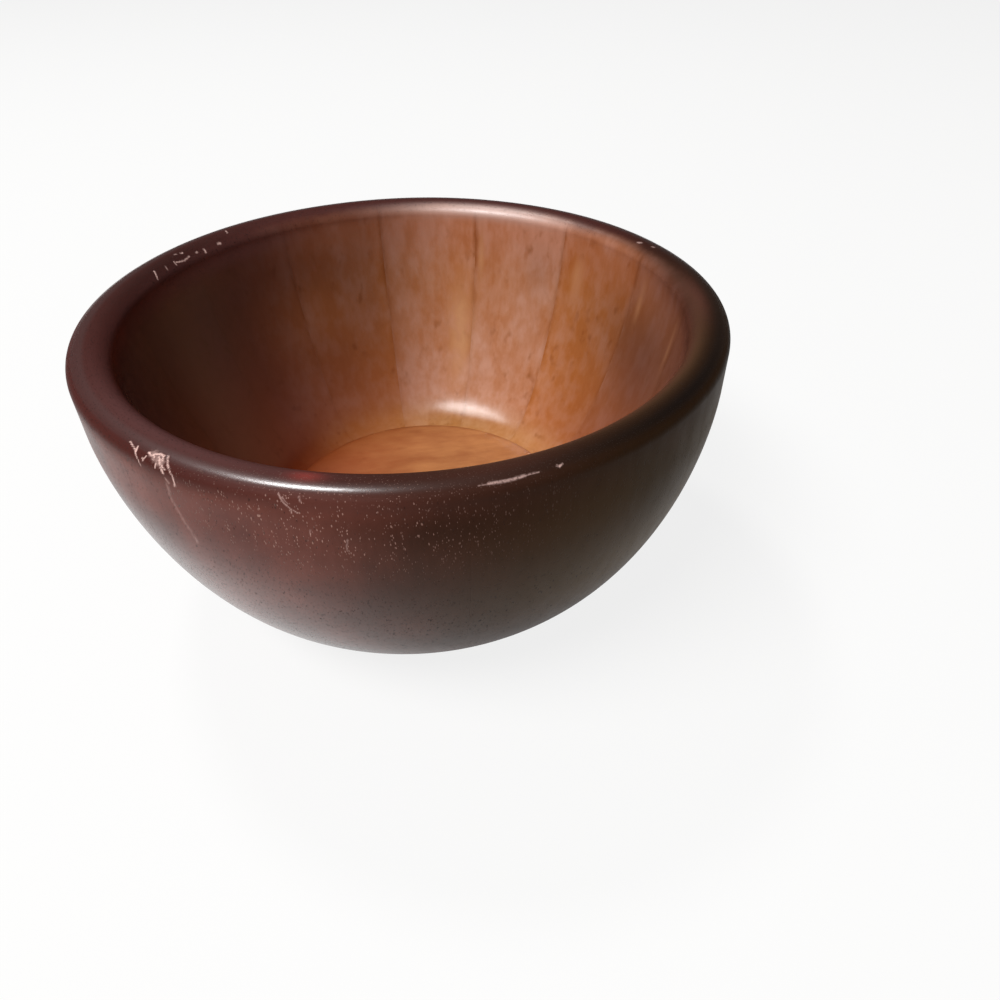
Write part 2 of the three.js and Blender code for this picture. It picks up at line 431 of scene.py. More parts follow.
def note_on(piece, name, values):
    """Keeps a number, or a vector of three, for every point of a piece, for its finish to read."""
    values = np.asarray(values, dtype=np.float32)
    is_vector = values.ndim > 1 and values.shape[-1] == 3
    note = piece.data.attributes.new(name, "FLOAT_VECTOR" if is_vector else "FLOAT", "POINT")
    note.data.foreach_set("vector" if is_vector else "value", values.ravel())


def grid_faces(corner):
    """Four-cornered faces of a grid, from the point numbers at its corners, row by row."""
    lower, upper = corner[:-1], corner[1:]
    around = [lower[:, :-1], lower[:, 1:], upper[:, 1:], upper[:, :-1]]
    return np.stack(around, axis=-1).reshape(-1, 4).tolist()


print("edges stay sharp past", SHARP_DEGREES, "degrees")

# %% [markdown]
# Columns crowd towards the seams, where the edges sink a hair, as sanded glue lines do. A stave with marks
# has more. A Subdivision Surface would refine all alike, and most of those faces would show nothing.

# %% The grid of a stave
SEAM_GAP = 0.01 * MM
# How many columns a stave has, and how much they crowd.
PLAIN_COLUMNS = (52, 0.85)
MARKED_COLUMNS = (170, 0.6)
# The rebate under the floor, which closes the section: radius and height from the floor's edge to the foot.
REBATE = np.array([(FLANGE_RADIUS, LEDGE_HEIGHT), (PLUG_RADIUS, LEDGE_HEIGHT), (PLUG_RADIUS, 0)])


def is_marked(centre):
    """True where a worn mark lies on the stave at that angle."""
    turns = np.radians([degrees for _, _, _, *path in MARKS for degrees, _ in path]) - centre
    return bool((np.abs((turns + np.pi) % (2 * np.pi) - np.pi) < STAVE_ANGLE / 2).any())


def columns_across(count, crowding):
    """Places across a stave from -1 to 1, closer towards the seams: part even, part the sine of even."""
    even = np.linspace(-1, 1, count)
    return (1 - crowding) * even + crowding * np.sin(even * np.pi / 2)


def stave_grid(centre):
    """Places of a stave's points, in rows along the closed section and columns across the stave.

    A point's angle is the stave's middle, plus its place across times half the stave's angle. Its distance
    to the seam is the arc that is left.
    """
    across = columns_across(*(MARKED_COLUMNS if is_marked(centre) else PLAIN_COLUMNS))
    radius = np.concatenate([row_radius, REBATE[:, 0]])[:, None]
    height = np.concatenate([row_height, REBATE[:, 1]])[:, None]
    normal = np.concatenate([row_normal, np.zeros((len(REBATE), 2))])
    from_crown = np.concatenate([row_from_crown, np.full(len(REBATE), row_from_crown[-1])])[:, None]
    half = STAVE_ANGLE / 2 - np.arcsin(SEAM_GAP / 2 / radius)
    angle = centre + half * across
    turn = (angle + np.pi) % (2 * np.pi) - np.pi
    seam = radius * half * (1 - np.abs(across))
    return SimpleNamespace(angle=angle, turn=turn, radius=radius, height=height, normal=normal,
                           from_crown=from_crown + 0 * angle, seam=seam)


print(sum(is_marked(centre) for centre in centres.values()), "staves are marked")

# %% [markdown]
# A tool held by hand lets the turned wall wave a little, and no stave is quite flush with the next. A
# Displace modifier could do that from a texture. Here every point sinks along the section's normal, by the
# sum of its mark, its seam and its wave.

# %% The surface of a stave
SEAM_SINK = 0.004 * MM
SEAM_SINK_WIDTH = 0.5 * MM
SEAM_HIDDEN = 8 * MM
FLUSH_ERROR = 0.005 * MM
WALL_WAVE = 0.05 * MM
# Each slow wave is its turns round the bowl, its turn along the wall, and where it starts.
WALL_WAVES = [(3, 2, 0), (5, -3, 1), (8, 5, 2)]
RANDOM_SEED = 14
random = np.random.default_rng(RANDOM_SEED)


def wall_wave(angle, from_crown):
    """How far the wall strays from its section: the mean of slow sines of the angle and the distance."""
    reach = from_crown / HEIGHT
    waves = sum(np.sin(turns * angle + along * reach + start) for turns, along, start in WALL_WAVES)
    return WALL_WAVE * waves / len(WALL_WAVES)


def stave_surface(grid, depth):
    """Points of a stave: radius and height less the sink along the normal, turned about the axis."""
    rubbed = np.clip(-grid.from_crown / SEAM_HIDDEN, 0, 1)
    seam_sink = SEAM_SINK * rubbed * np.exp(-(grid.seam / SEAM_SINK_WIDTH) ** 2)
    sink = depth + seam_sink - wall_wave(grid.angle, grid.from_crown)
    sink = sink + random.uniform(0, FLUSH_ERROR)
    radius = grid.radius - sink * grid.normal[:, :1]
    height = np.maximum(grid.height - sink * grid.normal[:, 1:], 0)
    return np.stack([radius * np.cos(grid.angle), radius * np.sin(grid.angle), height], axis=-1)


def stave_faces(shape):
    """Faces of a closed stave: its grid, joined from the last row to the first, and two bevelled ends."""
    corner = np.arange(shape[0] * shape[1]).reshape(shape)
    ends = [corner[:, 0].tolist(), corner[::-1, -1].tolist()]
    return grid_faces(np.concatenate([corner, corner[:1]])) + ends


print(f"the wall waves by up to {WALL_WAVE / MM} mm")

# %% [markdown]
# Every stave was sawn from its own place in a board, so its points keep their places in an endless board,
# with a random start. One pattern for all would be simpler, but its grain would run on across the seams.

# %% Build the staves
BOARD_REACH = 500
TONE_STEP = 0.04


def note_stave(piece, grid, centre, wear):
    """Keeps what a stave's finish reads: places in its board in mm, wear, painted shadow, and tone with
    painted light.
    """
    sideways = grid.radius * np.sin(grid.angle - centre)
    outward = grid.radius * np.cos(grid.angle - centre)
    board = np.stack([sideways, outward, grid.height + 0 * grid.angle], axis=-1) / MM
    note_on(piece, "board", board + random.uniform(-BOARD_REACH, BOARD_REACH, 3))
    note_on(piece, "from_crown", grid.from_crown / MM)
    note_on(piece, "seam", grid.seam / MM)
    note_on(piece, "wear", wear)
    # The note stain holds the share of this painted shadow.
    note_on(piece, "stain", painted_shadow_share(grid.turn))
    # The inside's tone, with its painted light and shade.
    light = tone_and_painted_light(grid.turn) + soft_patches(grid.turn, grid.from_crown, TONE_AND_LIGHT_PATCHES)
    note_on(piece, "tone", light + random.uniform(-1, 1) * TONE_STEP)
    for note, patches in SOFT_NOTES.items():
        note_on(piece, note, soft_patches(grid.turn, grid.from_crown, patches))


def stave_piece(name):
    """One stave: its grid, sunk where it is worn, closed, and noted."""
    centre = centres[name]
    grid = stave_grid(centre)
    wear, depth = worn_by_marks(grid.turn, grid.from_crown)
    piece = new_piece(f"wall_{name}", stave_surface(grid, depth), stave_faces(grid.angle.shape))
    note_stave(piece, grid, centre, wear)
    return piece


staves = {name: stave_piece(name) for name in STAVES}
triangles = sum(len(piece.data.loops) - 2 * len(piece.data.polygons) for piece in staves.values())
print(f"{triangles} triangles in {len(staves)} staves")

# %% [markdown]
# ## Floor disc
#
# One board, turned to a stepped disc, closes the bottom. Its wide top step is the floor inside, and its
# plug fills the ring of the staves' feet. A Screw modifier could carry its outline round. A grid does the
# same, and one point at each pole closes the middle.

# %% Build the floor disc
DISC_GAP = 0.02 * MM
DISC_COLUMNS = 224
TURNING_PITCH = 1.4 * MM
TURNING_DEPTH = 0.02 * MM
PLAIN_EDGE = 1 * MM
FLOOR_STEPS = 70
FIRST_STEP = 0.02
# Where the disc lies in its board, in mm, and the sides between which its painted shade fades out.
DISC_BOARD = 90
FLOOR_SHADED_SIDE = -36 * MM
FLOOR_LIT_SIDE = 8 * MM


def disc_outline():
    """Radius and height of the disc's rows, from the lower pole out, up two steps and in to the upper pole.

    The underside keeps shallow rings from the turning tool: a sine of the radius. The floor dips a little
    at its edge, where its glue line was sanded.
    """
    plug, flange = PLUG_RADIUS - DISC_GAP, FLANGE_RADIUS - DISC_GAP
    share = np.sin(np.linspace(FIRST_STEP, 1, FLOOR_STEPS) * np.pi / 2)
    under = plug * share
    rings = TURNING_DEPTH * (1 + np.sin(2 * np.pi * under / TURNING_PITCH)) / 2
    rings = rings * (under < plug - PLAIN_EDGE)
    over = flange * share
    dip = SEAM_SINK * np.exp(-((flange - over) / SEAM_SINK_WIDTH) ** 2)
    ledge = LEDGE_HEIGHT + DISC_GAP
    steps = np.array([(plug, ledge), (flange, ledge)])
    top = np.stack([over, FLOOR_HEIGHT - dip], axis=1)[::-1]
    return np.concatenate([np.stack([under, rings], axis=1), steps, top])


def disc_piece():
    """The disc: its outline carried once round, with the last column joined to the first."""
    radius, height = disc_outline().T
    angle = np.linspace(0, 2 * np.pi, DISC_COLUMNS, endpoint=False)
    x, y = radius[:, None] * np.cos(angle), radius[:, None] * np.sin(angle)
    z = height[:, None] + 0 * angle
    ring = np.stack([x, y, z], axis=-1).reshape(-1, 3)
    points = np.concatenate([ring, [(0, 0, height[0]), (0, 0, height[-1])]])
    corner = np.arange(len(ring)).reshape(len(radius), DISC_COLUMNS)
    closed = np.concatenate([corner, corner[:, :1]], axis=1)
    lower, upper = closed[0], closed[-1]
    low_pole = np.full(DISC_COLUMNS, len(ring))
    low_fan = np.stack([lower[1:], lower[:-1], low_pole], axis=1)
    high_fan = np.stack([upper[:-1], upper[1:], low_pole + 1], axis=1)
    piece = new_piece("floor_disc", points, grid_faces(closed) + low_fan.tolist() + high_fan.tolist())
    note_on(piece, "board", points[:, [1, 2, 0]] / MM + DISC_BOARD)
    note_on(piece, "seam", (FLANGE_RADIUS - np.hypot(points[:, 0], points[:, 1])) / MM)
    note_on(piece, "tone", np.clip((points[:, 0] - FLOOR_SHADED_SIDE) / (FLOOR_LIT_SIDE - FLOOR_SHADED_SIDE), 0, 1))
    return piece


floor_disc = disc_piece()
print("floor disc of", len(floor_disc.data.vertices), "points")

# %% [markdown]
# ## Writing a finish
#
# A finish in Blender is a graph of nodes. Wiring a few by hand is fine, but wood takes dozens. So a small
# class wraps a node's output, and plain arithmetic on it adds the Math nodes. One method makes every other
# kind of node from its type, its settings and its inputs.

# %% A value in a finish, and the finish itself
class Value:
    """One output of a node. Arithmetic on it adds Math nodes to its finish."""

    def __init__(self, finish, socket):
        self.finish = finish
        self.socket = socket

    def maths(self, operation, first, second):
        """One Math node, on two values or numbers."""
        return self.finish.node("ShaderNodeMath", {"operation": operation}, {0: first, 1: second})

    def __add__(self, other):
        return self.maths("ADD", self, other)

    __radd__ = __add__

    def __sub__(self, other):
        return self.maths("SUBTRACT", self, other)

    def __rsub__(self, other):
        return self.maths("SUBTRACT", other, self)

    def __mul__(self, other):
        return self.maths("MULTIPLY", self, other)

    __rmul__ = __mul__


def find_socket(sockets, key):
    """One of a node's sockets, by its number or by its own name."""
    if isinstance(key, int):
        return sockets[key]
    return next(socket for socket in sockets if socket.identifier == key)


class Finish:
    """A material or world being written: its node tree, and the few kinds of node that a bowl needs."""

    def __init__(self, owner):
        self.owner = owner
        owner.use_nodes = True
        self.tree = owner.node_tree
        self.tree.nodes.clear()

    def node(self, kind, settings=None, inputs=None, output=0):
        """Adds a node with its settings and its inputs. Returns one output, or for None, nothing."""
        node = self.tree.nodes.new(kind)
        for name, value in (settings or {}).items():
            setattr(node, name, value)
        for key, value in (inputs or {}).items():
            socket = find_socket(node.inputs, key)
            if isinstance(value, Value):
                self.tree.links.new(value.socket, socket)
            else:
                socket.default_value = value
        return None if output is None else Value(self, find_socket(node.outputs, output))

    def note(self, name, output="Fac"):
        """A number kept on the piece's points, or with the output Vector, a vector."""
        return self.node("ShaderNodeAttribute", {"attribute_name": name}, output=output)

    def stretched(self, board, length):
        """A place in a board, divided along the grain, so that its pattern is that many times longer."""
        axes = {"Vector": board, "Vector_001": (1, 1, 1 / length)}
        return self.node("ShaderNodeVectorMath", {"operation": "MULTIPLY"}, axes)

    def noise(self, place, scale, detail):
        """Smooth noise about a half, with that many lumps to the unit of the place."""
        return self.node("ShaderNodeTexNoise", {}, {"Vector": place, "Scale": scale, "Detail": detail})

    def cells(self, place, scale, output="Distance"):
        """Distance to the nearest of many scattered points, that many to the millimetre."""
        return self.node("ShaderNodeTexVoronoi", {}, {"Vector": place, "Scale": scale}, output)

    def ramp(self, value, start, end):
        """Nothing at the start, one at the end, and smooth between."""
        settings = {"interpolation_type": "SMOOTHSTEP"}
        return self.node("ShaderNodeMapRange", settings, {0: value, 1: start, 2: end, 3: 0.0, 4: 1.0})

    def mix(self, share, first, second, blend="MIX"):
        """The first colour where the share is nothing, the second where it is one."""
        settings = {"data_type": "RGBA", "blend_type": blend}
        inputs = {"Factor_Float": share, "A_Color": first, "B_Color": second}
        return self.node("ShaderNodeMix", settings, inputs, "Result_Color")

    def layers(self, colour, *layers):
        """A colour under some layers in turn, each its share, its colour and, if need be, its blend."""
        for share, *layer in layers:
            colour = self.mix(share, colour, *layer)
        return colour

    def relief(self, height):
        """A normal that tilts with a height in millimetres."""
        return self.node("ShaderNodeBump", {}, {"Strength": 1.0, "Distance": MM, "Height": height})

    def close(self, shader, output="ShaderNodeOutputMaterial"):
        """Makes a shader the surface of the finish, and returns the material or world."""
        self.node(output, {}, {"Surface": shader}, None)
        return self.owner


def paint(code):
    """A colour written as six hexadecimal digits, turned into the linear light that shaders work in.

    By the usual curve, a dark share is divided by 12.92. A lighter one, plus 0.055 and over 1.055, is taken
    to the power 2.4.
    """
    share = np.array([int(code[at:at + 2], 16) for at in (0, 2, 4)]) / 255
    linear = np.where(share <= 0.04045, share / 12.92, ((share + 0.055) / 1.055) ** 2.4)
    return (*linear.tolist(), 1.0)


print("mid grey 808080 is", round(paint("808080")[0], 3), "in linear light")

# %% [markdown]
# ## Stained wood
#
# The stain lies thick and dark outside and over the lip, and use has thinned it to a rosy orange inside. A
# picture of wood could be wrapped round, but it would repeat. Noise worked out at every point never does.
# It is read in each stave's own board, so the grain runs up the stave and no two staves match.

# %% The grain that every stained piece shares
# Each is its count to the mm, its stretch along the grain, its fineness, and the levels of the noise where
# it starts and is full.
CLOUD = (0.07, 1.7, 2.0, 0.3, 0.7)
STREAK = (0.2, 8.0, 2.0, 0.3, 0.7)
HAIR = (0.9, 6.0, 2.0, 0.3, 0.7)
MOTTLE = (0.3, 2.0, 4.0, 0.28, 0.72)
SPOT = (0.36, 1.7, 1.5, 0.54, 0.86)
SPOTTED_PART = (0.08, 1.0, 1.0, 0.45, 0.62)
FIBRE = (2.2, 2.9, 2.0, 0.0, 1.0)


def swing(noise):
    """A noise from nothing to one, moved to lie about nothing."""
    return noise - 0.5


def grain(finish, board, count, length, fineness, start, full):
    """Noise pulled out along the grain, from nothing to one."""
    place = finish.stretched(board, length)
    return finish.ramp(finish.noise(place, count, fineness), start, full)


def wood_grain(finish, board):
    """Clouds, streaks, fine hair grain, mottle and brown flecks of the wood, on a place in millimetres."""
    cloud, streak, hair, mottle = (grain(finish, board, *kind) for kind in (CLOUD, STREAK, HAIR, MOTTLE))
    fleck = grain(finish, board, *SPOT) * grain(finish, board, *SPOTTED_PART)
    return SimpleNamespace(cloud=cloud, streak=streak, hair=hair, mottle=mottle, fleck=fleck)


def patchy(wood, cloud, mottle, streak, hair):
    """Cloud, mottle, streak and hair grain added up, each times its share."""
    return cloud * wood.cloud + mottle * wood.mottle + streak * wood.streak + hair * wood.hair


print(f"hair grain of {1 / HAIR[0]:.1f} mm, clouds of {1 / CLOUD[0]:.0f} mm")

# %% [markdown]
# Pores are the cut ends of the wood's vessels, some fine and some large. They could be modelled as pits,
# but there are thousands. Scattered cells give each a middle and a number of its own, by which some are
# dropped and some are pale, with dust and painted glints.

# %% Pores
# Each is its count to the mm, its stretch along the grain, and the chances between which it is kept.
FINE_PORES = (2.9, 2.6, 0.28, 0.42)
LARGE_PORES = (1.3, 2.0, 0.55, 0.65)
PORE_EDGE = (0.3, 0.1)
PORE_RAGGED = 0.7


def wood_pores(finish, board, fibre, count, length, dropped, kept):
    """Pores: the middles of scattered cells, kept by chance and ragged with the fibres; and the chance."""
    place = finish.stretched(board, length)
    chance = finish.cells(place, count, "Color")
    middle = finish.ramp(finish.cells(place, count) + PORE_RAGGED * swing(fibre), *PORE_EDGE)
    return finish.ramp(chance, dropped, kept) * middle, chance


print(f"fine pores lie in cells of {1 / FINE_PORES[0]:.2f} mm")

# %% [markdown]
# The finish of a stave starts from the notes that its grid kept. The stain is worn through just inside the
# lip, at once where the tone is light and slowly where it is dark, and that tone holds painted light and
# shade. A mask painted by hand could say where. Worked out from the notes, its edge runs on unbroken round
# all the staves.

# %% What the finish of a stave reads
# Places and shifts are in mm, and chances and shares run from nothing to one.
STAVE_NOTES = ("from_crown", "tone", "hue", "stain", "seam", "wear", *SOFT_NOTES)
WORN_EDGE = (-2.0, -6.8)
SLOWEST_WEAR = 0.45
DARK_SHIFT = 0.9
WAVY_CLOUD, WAVY_MOTTLE = 0.7, 0.3
PALE_PORE_CHANCE = (0.4, 0.56)
LARGE_PORES_FROM = (20.0, 42.0)
# More large pores on the right, where the shadow is painted.
LARGE_PORES_ELSEWHERE, LARGE_PORES_ON_SHADOW_SIDE = 0.25, 0.6


def at_least(least, value):
    """A value from nothing to one, raised to run from a least amount to one."""
    return least + (1 - least) * value


def stave_wood(finish):
    """The notes on a stave's points, its grain and pores, and how far inside the lip a point is.

    Inside goes by the distance from the crown. Where the tone is low, in dark wood and painted shade, less
    than half of each millimetre counts, after a small shift. The grain waves its edge, and where the lip is
    bared it moves up.
    """
    board = finish.note("board", "Vector")
    wood = wood_grain(finish, board)
    for name in STAVE_NOTES:
        setattr(wood, name, finish.note(name))
    wood.fibre = grain(finish, board, *FIBRE)
    edge = (wood.from_crown - DARK_SHIFT * (1 - wood.tone)) * at_least(SLOWEST_WEAR, wood.tone)
    wavy = WAVY_CLOUD * swing(wood.cloud) + WAVY_MOTTLE * swing(wood.mottle)
    wood.inside = finish.ramp(edge + wavy - wood.bared, *WORN_EDGE)
    fine, chance = wood_pores(finish, board, wood.fibre, *FINE_PORES)
    wood.fine_pore = fine * (1 - wood.inside)
    # Pale pores: dust, and painted glints.
    wood.dusty = wood.dust * finish.ramp(chance, *PALE_PORE_CHANCE)
    large, _ = wood_pores(finish, board, wood.fibre, *LARGE_PORES)
    large = large * (LARGE_PORES_ELSEWHERE + LARGE_PORES_ON_SHADOW_SIDE * wood.stain)
    wood.large_pore = large * finish.ramp(wood.from_crown, *LARGE_PORES_FROM)
    return wood


print(len(STAVE_NOTES), "notes are read")

# %% [markdown]
# Outside, the stain was wiped on after turning, so its soft blotches run on across the seams. Read in each
# board, their noise would break there, so it is read from the place in the bowl. Fine grain shows through.

# %% Stain outside
STAIN_LIP = paint("4b2521")
# Faded stain, also painted light on the shaded right lip.
STAIN_FADED_AND_LIT = paint("8a5248")
# Painted shade and shadow, near black.
PAINTED_SHADE_BLACK = paint("140c08")
STAIN_DEEP = paint("5c2a20")
STAIN_WARM = paint("7c3d30")
# A painted shadow, dark brown, over the outside's right.
PAINTED_SHADOW_BROWN = paint("2a1a10")
# A painted sheen, olive, low on the right and on its lip.
PAINTED_SHEEN_OLIVE = paint("5f4a27")
WARM_SHADE = (0.80, 0.68, 0.54, 1.0)
BLOTCHES_PER_METRE = 60.0
BLOTCH_FINENESS = 4.0
BLOTCH_LEVELS = (0.3, 0.7)
LIP_STAIN_FULL, LIP_STAIN_END = 3.5, 7.7
HAIR_SHOWS = 0.4
PAINTED_SHADOW_STRENGTH = 0.92
OLIVE_SHEEN_SHARE = 0.8


def stain_outside(finish, wood):
    """Blotchy dark stain, plain at the lip, faded in parts, with painted shadow, shade, light and olive
    sheen.
    """
    place = finish.node("ShaderNodeTexCoord", output="Object")
    blotch = finish.ramp(finish.noise(place, BLOTCHES_PER_METRE, BLOTCH_FINENESS), *BLOTCH_LEVELS)
    near_lip = finish.ramp(wood.from_crown * wood.from_crown, LIP_STAIN_END ** 2, LIP_STAIN_FULL ** 2)
    return finish.layers(
        STAIN_DEEP, (blotch, STAIN_WARM),
        (HAIR_SHOWS * wood.hair, WARM_SHADE, "MULTIPLY"),
        (near_lip, STAIN_LIP), (PAINTED_SHADOW_STRENGTH * wood.stain, PAINTED_SHADOW_BROWN),
        (HAIR_SHOWS * wood.hair * wood.stain, WARM_SHADE, "MULTIPLY"),
        (OLIVE_SHEEN_SHARE * wood.olive, PAINTED_SHEEN_OLIVE), (wood.faded, STAIN_FADED_AND_LIT), (wood.deep, PAINTED_SHADE_BLACK))


print(f"blotches of about {1000 / BLOTCHES_PER_METRE:.0f} mm outside")

# %% [markdown]
# Inside, the rubbed stain is rose or orange where the tone is light and red brown to near black where it is
# dark, the wood's dark tone with painted shade, redder low down with painted bounce light. Mottle, glue and
# flecks darken it. A multiplying mix does that without greying it, as a mix towards one dark colour would.

# %% Stain inside
RUBBED_ROSE = paint("dda58a")
RUBBED_ORANGE = paint("d28547")
# Near black: dark wood in painted shade, on the left wall.
RUBBED_DARK_IN_SHADE = paint("361b28")
# Red brown low on the dark wall: painted bounce light in the shade.
RUBBED_RED_IN_BOUNCE = paint("90421f")
SETTLED = paint("b48248")
PALE_STREAK_COLOUR = paint("e2ab7c")
GLUE_SHADE = (0.64, 0.50, 0.32, 1.0)
TOP_SHADE = (1.0, 0.88, 0.84, 1.0)
# How far the dark of a glue line reaches from its seam, in mm.
GLUE_STAIN_WIDTH = 1.5
# Where each change starts and is full, in mm from the crown.
ROSY_TOP = (-27.0, -7.0)
ROSY_LOW = (-44.0, -60.0)
RED_LOW = (-18.0, -92.0)
GLUE_TOP = (-55.0, -10.0)
SETTLED_LOW = (CORNER + 13, CORNER + 1)
# How much of each there is, from nothing to one.
LESS_ORANGE_TOP, LESS_ORANGE_LOW = 0.35, 0.22
ORANGE_SWING = 0.4
SETTLED_SHARE = 0.8
WALL_PATCHES = (0.4, 0.35, 0.15, 0.2)
PATCHES_IN_DARK = 0.5
GLUE_IN_DARK = 0.3
GLUE_LOW, GLUE_ADDED_ABOVE = 0.35, 0.6
GLUE_EVEN, GLUE_MOTTLED = 0.7, 0.6
FLECK_SHARE = 0.9
PALE_STREAK_LEAST = 0.5


def rubbed_stain(finish, wood, top):
    """Rose or orange by stave and grain where the tone is light, red to near black in the painted shade."""
    low = finish.ramp(wood.from_crown, *ROSY_LOW)
    orange = wood.hue - LESS_ORANGE_TOP * top - LESS_ORANGE_LOW * low
    orange = orange + ORANGE_SWING * swing(wood.cloud) + ORANGE_SWING * swing(wood.mottle)
    light = finish.mix(orange, RUBBED_ROSE, RUBBED_ORANGE)
    dark = finish.mix(finish.ramp(wood.from_crown, *RED_LOW), RUBBED_DARK_IN_SHADE, RUBBED_RED_IN_BOUNCE)
    colour = finish.mix(wood.tone, dark, light)
    settled = wood.tone * finish.ramp(wood.from_crown, *SETTLED_LOW)
    return finish.mix(SETTLED_SHARE * settled, colour, SETTLED)


def stain_inside(finish, wood):
    """Rubbed stain, mottled, darker along the glue lines and on flecks, and pale on some streaks."""
    top = finish.ramp(wood.from_crown, *ROSY_TOP)
    patches = patchy(wood, *WALL_PATCHES) * at_least(PATCHES_IN_DARK, wood.tone)
    glue = finish.ramp(wood.seam, GLUE_STAIN_WIDTH, 0.0) * at_least(GLUE_IN_DARK, wood.tone)
    glue = glue * (GLUE_LOW + GLUE_ADDED_ABOVE * finish.ramp(wood.from_crown, *GLUE_TOP))
    brown = glue * (GLUE_EVEN + GLUE_MOTTLED * swing(wood.mottle)) + FLECK_SHARE * wood.fleck
    return finish.layers(
        rubbed_stain(finish, wood, top), (patches, WARM_SHADE, "MULTIPLY"), (top, TOP_SHADE, "MULTIPLY"),
        (brown, GLUE_SHADE, "MULTIPLY"), (wood.sapwood * (PALE_STREAK_LEAST + wood.mottle), PALE_STREAK_COLOUR))


print(f"stain settles in the last {SETTLED_LOW[0] - CORNER:.0f} mm above the floor")

# %% [markdown]
# Wear and painted light go on last: a painted pinkish sheen, a painted highlight on the far lip, a thin red
# spot, the pores with dust and painted glints, and the marks down to bare wood. Each could be a shell over
# the last. As mixes of one base colour they need no geometry.

# %% Wear over the stain
# A painted highlight, pale pink.
PAINTED_HIGHLIGHT_PINK = paint("ecc8bc")
# A painted sheen, pinkish grey.
PAINTED_SHEEN_PINK = paint("8c6868")
THIN_RED = paint("983f38")
PORE_DARK = paint("1c0f0c")
# Pale pores: dust, and painted glints of light.
PALE_PORE_DUST_AND_GLINT = paint("d4a698")
BARE_WOOD = paint("f0c8be")
PAINTED_HIGHLIGHT_SHARE = 0.87
PORE_SHARE, PORE_SHARE_LOST = 0.8, 0.45
WORN_BETWEEN_FIBRES = 0.4
WORN_FIBRES = (0.3, 0.5)


def worn_colour(finish, wood, colour):
    """How worn each point is, and the stain's colour under painted sheen and highlight, thin stain, pores
    and marks.
    """
    pore = finish.mix(wood.dusty, PORE_DARK, PALE_PORE_DUST_AND_GLINT)
    worn = wood.wear * at_least(WORN_BETWEEN_FIBRES, finish.ramp(wood.fibre, *WORN_FIBRES))
    return worn, finish.layers(
        colour, (wood.bloom, PAINTED_SHEEN_PINK), (PAINTED_HIGHLIGHT_SHARE * wood.rub, PAINTED_HIGHLIGHT_PINK), (wood.thin, THIN_RED),
        (wood.fine_pore * (PORE_SHARE - PORE_SHARE_LOST * wood.stain), pore),
        (wood.large_pore, PORE_DARK), (worn, BARE_WOOD))


print("bare wood in linear light is", BARE_WOOD[:3])

# %% [markdown]
# The lacquer shines most over the lip and less down the wall, inside and outside, and pores and marks break
# it. One even coat would shine alike everywhere, so how thick it is follows the place.

# %% How the lacquer shines
# Where each change starts and is full, in mm from the crown.
GLOSSY_CROWN = (-0.5, 0.9)
GLOSSY_COVE = (CORNER + 3, CORNER + 9)
HAZY_BELT = (3.2, 10.0)
HAZY_BOTTOM = (14.0, 34.0)
# How much of each there is, from nothing to one.
COVE_GLOSS = 0.78
HAZE, LOW_HAZE = 0.5, 0.5
# How much less the coats shine on the right, where the shadow is painted.
SHADOW_SIDE_DULLS_LIP = 0.87
SHADOW_SIDE_DULLS_WALL = 0.88
SHADOW_SIDE_LOWERS_HAZE = 0.65
PORES_DULL = 0.7


def gloss_inside(finish, wood, over, below, worn):
    """How thick the polished coat is: full on the outer half of the lip, less down the wall inside."""
    crown = over * finish.ramp(wood.from_crown, *GLOSSY_CROWN)
    crown = crown * (1 - SHADOW_SIDE_DULLS_LIP * wood.stain * wood.stain)
    gloss = crown + COVE_GLOSS * below * finish.ramp(wood.from_crown, *GLOSSY_COVE)
    return gloss * (1 - worn) * (1 - PORES_DULL * wood.fine_pore)


def haze_outside(finish, wood):
    """How thick the satin coat is: half below the lip, full low down, less under painted shadow and on
    pores.
    """
    lower = finish.ramp(wood.from_crown * (1 - SHADOW_SIDE_LOWERS_HAZE * wood.stain), *HAZY_BELT)
    bottom = finish.ramp(wood.from_crown, *HAZY_BOTTOM)
    haze = (HAZE * lower + LOW_HAZE * bottom) * (1 - SHADOW_SIDE_DULLS_WALL * wood.stain)
    return haze * (1 - PORES_DULL * wood.fine_pore) * (1 - wood.large_pore)


print(f"the outside is haziest {HAZY_BOTTOM[1]:.0f} mm below the crown and lower")

# %% [markdown]
# Three lacquers share one colour: satin outside, polished over the lip and inside, and a broad sheen on the
# far lip, where a highlight is also painted. As three materials they would meet at hard borders. A Mix
# Shader goes softly between them.

# %% The finish of the staves
# Places are in mm from the crown, and heights in mm.
OVER_LIP = (3.3, 2.4)
BELOW_LIP = (-7.0, -14.0)
MOTTLE_HEIGHT, PORE_DEPTH, FIBRE_HEIGHT = 0.01, 0.04, 0.01
COAT_ROUGHNESS = 0.23
POLISHED_COAT_IOR = 1.75
POLISHED_SPECULAR, POLISHED_ROUGHNESS = 0.08, 0.38
HANDLED_SPECULAR, HANDLED_ROUGHNESS = 0.9, 0.42
SATIN_SPECULAR, SATIN_ROUGHNESS = 0.04, 0.5
ROUGHER_BELOW, ROUGHER_BY_MOTTLE, ROUGHER_WORN = 0.08, 0.06, 0.2


